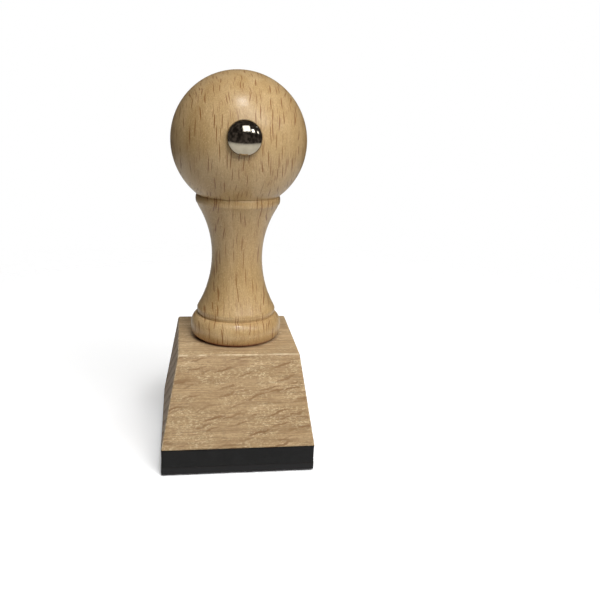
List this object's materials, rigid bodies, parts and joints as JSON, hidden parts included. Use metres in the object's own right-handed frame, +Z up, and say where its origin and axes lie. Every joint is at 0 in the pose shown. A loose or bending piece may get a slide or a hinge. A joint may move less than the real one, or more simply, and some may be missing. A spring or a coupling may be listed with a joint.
{
  "type": "rubber stamp",
  "caption": "Hand stamp with a turned ball-topped wooden handle on a tapered wooden block, over a black foam cushion and an engraved rubber die.",
  "frame": {"origin": "centre of the printing face, which the stamp stands on", "axes": "+Z up through the handle, -Y the front, where the guide stud points"},
  "size_m": [0.0398, 0.0398, 0.101],
  "materials": {
    "handle_wood": "satin",
    "block_wood": "matte",
    "stud_plating": "polished",
    "plain_steel": "satin",
    "tape_film": "satin",
    "black_foam": "matte",
    "black_rubber": "matte"
  },
  "bodies": {
    "mount": {"handle": "handle_wood", "guide_stud_cap": "stud_plating", "guide_stud_nail": "plain_steel", "mount_block": "block_wood", "handle_screw": "plain_steel", "cushion_tape": "tape_film", "foam_cushion": "black_foam"},
    "die": {"die_tape": "tape_film", "rubber_die": "black_rubber"}
  },
  "joints": [
    {"name": "cushion_press", "type": "slide", "parent": "mount", "child": "die", "axis": [0, 0, 1], "range_m": [0, 0.001], "stiffness_N_per_m": 80000, "deforming": ["foam_cushion"]}
  ]
}
